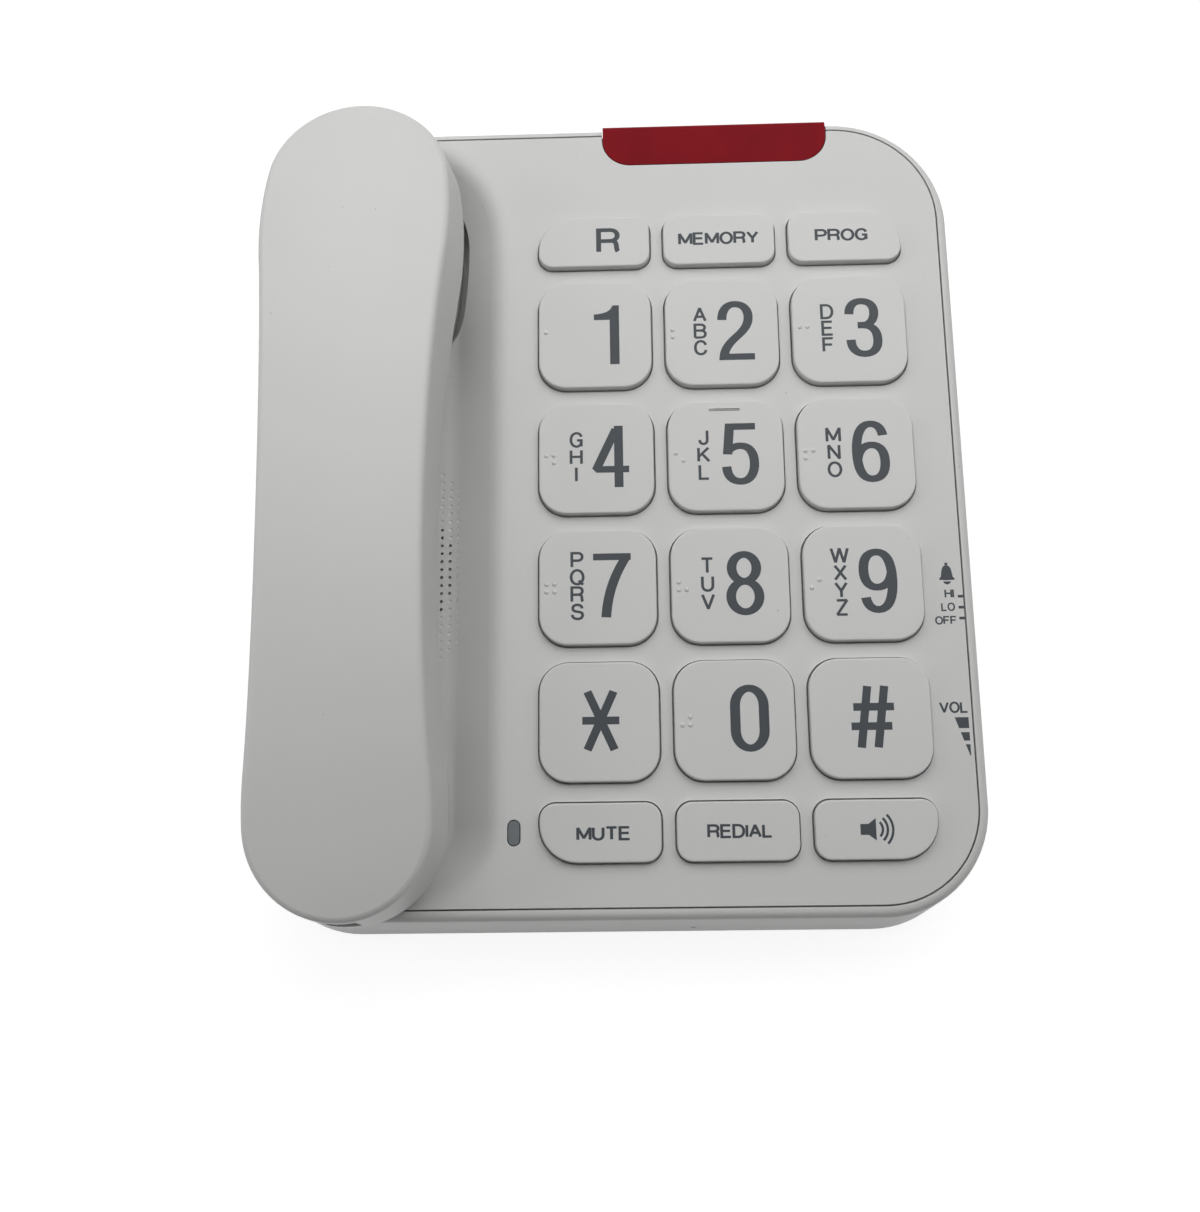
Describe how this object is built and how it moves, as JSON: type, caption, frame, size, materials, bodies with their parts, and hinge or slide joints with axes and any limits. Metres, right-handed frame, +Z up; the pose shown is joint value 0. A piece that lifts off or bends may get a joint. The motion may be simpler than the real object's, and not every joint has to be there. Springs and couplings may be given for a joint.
{
  "type": "corded telephone",
  "caption": "Corded desk telephone with a sloping base, large keys, a side cradle that seats a lift-off handset, and slide switches.",
  "frame": {"origin": "on the desk, under the middle of the base", "axes": "+X to the right, +Y to the back of the telephone, +Z up"},
  "size_m": [0.1859, 0.2141, 0.0783],
  "materials": {
    "white_case": "fine matt texture",
    "white_key": "satin",
    "red_lens": "polished, translucent",
    "grey_lens": "polished",
    "silicone": "matt",
    "rubber": "matt",
    "board": "satin",
    "component": "matt",
    "socket": "satin",
    "steel": "zinc plated",
    "magnet": "sintered",
    "screw": "zinc plated",
    "spring": "drawn wire",
    "capsule": "satin",
    "paper": "pressed paper"
  },
  "bodies": {
    "base": {"base_microphone": "capsule", "base_microphone_boot": "rubber", "board_parts": "component", "board_screws": "screw", "case_screws": "screw", "cord_socket": "socket", "hanging_tab": "white_key", "hook_spring": "spring", "hook_switch": "component", "keypad_mat": "silicone", "line_socket": "socket", "lower_case": "white_case", "main_board": "board", "ring_lens": "red_lens", "ring_light_board": "board", "ring_light_leds": "grey_lens", "ringer_switch": "component", "rubber_feet": "rubber", "speaker_basket": "steel", "speaker_cone": "paper", "speaker_magnet": "magnet", "speaker_screws": "screw", "status_led": "grey_lens", "status_lens": "grey_lens", "upper_cover": "white_case", "volume_switch": "component"},
    "handset": {"earpiece_gasket": "rubber", "earpiece_receiver": "component", "handset_inner_shell": "white_case", "handset_outer_shell": "white_case", "handset_screws": "screw", "handset_socket": "socket", "handset_weight": "steel", "microphone": "capsule", "microphone_boot": "rubber"},
    "plunger": {"hook_plunger": "white_key"},
    "ringer": {"ringer_knob": "white_key"},
    "volume": {"volume_knob": "white_key"},
    "key_0": {"key_0": "white_key"},
    "key_1": {"key_1": "white_key"},
    "key_2": {"key_2": "white_key"},
    "key_3": {"key_3": "white_key"},
    "key_4": {"key_4": "white_key"},
    "key_5": {"key_5": "white_key"},
    "key_6": {"key_6": "white_key"},
    "key_7": {"key_7": "white_key"},
    "key_8": {"key_8": "white_key"},
    "key_9": {"key_9": "white_key"},
    "key_hash": {"key_hash": "white_key"},
    "key_memory": {"key_memory": "white_key"},
    "key_mute": {"key_mute": "white_key"},
    "key_prog": {"key_prog": "white_key"},
    "key_r": {"key_r": "white_key"},
    "key_redial": {"key_redial": "white_key"},
    "key_speaker": {"key_speaker": "white_key"},
    "key_star": {"key_star": "white_key"}
  },
  "joints": [
    {"name": "handset_lift", "type": "slide", "parent": "base", "child": "handset", "axis": [0, -0.1564, 0.9877], "range_m": [0, 0.08]},
    {"name": "hook_rise", "type": "slide", "parent": "base", "child": "plunger", "axis": [0, -0.1564, 0.9877], "range_m": [0, 0.005], "deforming": ["hook_spring"]},
    {"name": "ringer_slide", "type": "slide", "parent": "base", "child": "ringer", "axis": [0, -1, 0], "range_m": [0, 0.0055]},
    {"name": "volume_slide", "type": "slide", "parent": "base", "child": "volume", "axis": [0, 1, 0], "range_m": [-0.00345, 0.00345]},
    {"name": "key_0_press", "type": "slide", "parent": "base", "child": "key_0", "axis": [0, 0.1564, -0.9877], "range_m": [0, 0.0015], "stiffness_N_per_m": 600, "springref_m": -0.001, "deforming": ["keypad_mat"]},
    {"name": "key_1_press", "type": "slide", "parent": "base", "child": "key_1", "axis": [0, 0.1564, -0.9877], "range_m": [0, 0.0015], "stiffness_N_per_m": 600, "springref_m": -0.001, "deforming": ["keypad_mat"]},
    {"name": "key_2_press", "type": "slide", "parent": "base", "child": "key_2", "axis": [0, 0.1564, -0.9877], "range_m": [0, 0.0015], "stiffness_N_per_m": 600, "springref_m": -0.001, "deforming": ["keypad_mat"]},
    {"name": "key_3_press", "type": "slide", "parent": "base", "child": "key_3", "axis": [0, 0.1564, -0.9877], "range_m": [0, 0.0015], "stiffness_N_per_m": 600, "springref_m": -0.001, "deforming": ["keypad_mat"]},
    {"name": "key_4_press", "type": "slide", "parent": "base", "child": "key_4", "axis": [0, 0.1564, -0.9877], "range_m": [0, 0.0015], "stiffness_N_per_m": 600, "springref_m": -0.001, "deforming": ["keypad_mat"]},
    {"name": "key_5_press", "type": "slide", "parent": "base", "child": "key_5", "axis": [0, 0.1564, -0.9877], "range_m": [0, 0.0015], "stiffness_N_per_m": 600, "springref_m": -0.001, "deforming": ["keypad_mat"]},
    {"name": "key_6_press", "type": "slide", "parent": "base", "child": "key_6", "axis": [0, 0.1564, -0.9877], "range_m": [0, 0.0015], "stiffness_N_per_m": 600, "springref_m": -0.001, "deforming": ["keypad_mat"]},
    {"name": "key_7_press", "type": "slide", "parent": "base", "child": "key_7", "axis": [0, 0.1564, -0.9877], "range_m": [0, 0.0015], "stiffness_N_per_m": 600, "springref_m": -0.001, "deforming": ["keypad_mat"]},
    {"name": "key_8_press", "type": "slide", "parent": "base", "child": "key_8", "axis": [0, 0.1564, -0.9877], "range_m": [0, 0.0015], "stiffness_N_per_m": 600, "springref_m": -0.001, "deforming": ["keypad_mat"]},
    {"name": "key_9_press", "type": "slide", "parent": "base", "child": "key_9", "axis": [0, 0.1564, -0.9877], "range_m": [0, 0.0015], "stiffness_N_per_m": 600, "springref_m": -0.001, "deforming": ["keypad_mat"]},
    {"name": "key_hash_press", "type": "slide", "parent": "base", "child": "key_hash", "axis": [0, 0.1564, -0.9877], "range_m": [0, 0.0015], "stiffness_N_per_m": 600, "springref_m": -0.001, "deforming": ["keypad_mat"]},
    {"name": "key_memory_press", "type": "slide", "parent": "base", "child": "key_memory", "axis": [0, 0.1564, -0.9877], "range_m": [0, 0.0015], "stiffness_N_per_m": 600, "springref_m": -0.001, "deforming": ["keypad_mat"]},
    {"name": "key_mute_press", "type": "slide", "parent": "base", "child": "key_mute", "axis": [0, 0.1564, -0.9877], "range_m": [0, 0.0015], "stiffness_N_per_m": 600, "springref_m": -0.001, "deforming": ["keypad_mat"]},
    {"name": "key_prog_press", "type": "slide", "parent": "base", "child": "key_prog", "axis": [0, 0.1564, -0.9877], "range_m": [0, 0.0015], "stiffness_N_per_m": 600, "springref_m": -0.001, "deforming": ["keypad_mat"]},
    {"name": "key_r_press", "type": "slide", "parent": "base", "child": "key_r", "axis": [0, 0.1564, -0.9877], "range_m": [0, 0.0015], "stiffness_N_per_m": 600, "springref_m": -0.001, "deforming": ["keypad_mat"]},
    {"name": "key_redial_press", "type": "slide", "parent": "base", "child": "key_redial", "axis": [0, 0.1564, -0.9877], "range_m": [0, 0.0015], "stiffness_N_per_m": 600, "springref_m": -0.001, "deforming": ["keypad_mat"]},
    {"name": "key_speaker_press", "type": "slide", "parent": "base", "child": "key_speaker", "axis": [0, 0.1564, -0.9877], "range_m": [0, 0.0015], "stiffness_N_per_m": 600, "springref_m": -0.001, "deforming": ["keypad_mat"]},
    {"name": "key_star_press", "type": "slide", "parent": "base", "child": "key_star", "axis": [0, 0.1564, -0.9877], "range_m": [0, 0.0015], "stiffness_N_per_m": 600, "springref_m": -0.001, "deforming": ["keypad_mat"]}
  ],
  "couplings": [
    {"joint": "hook_rise", "follows": "handset_lift", "ratio": 0.0625}
  ]
}
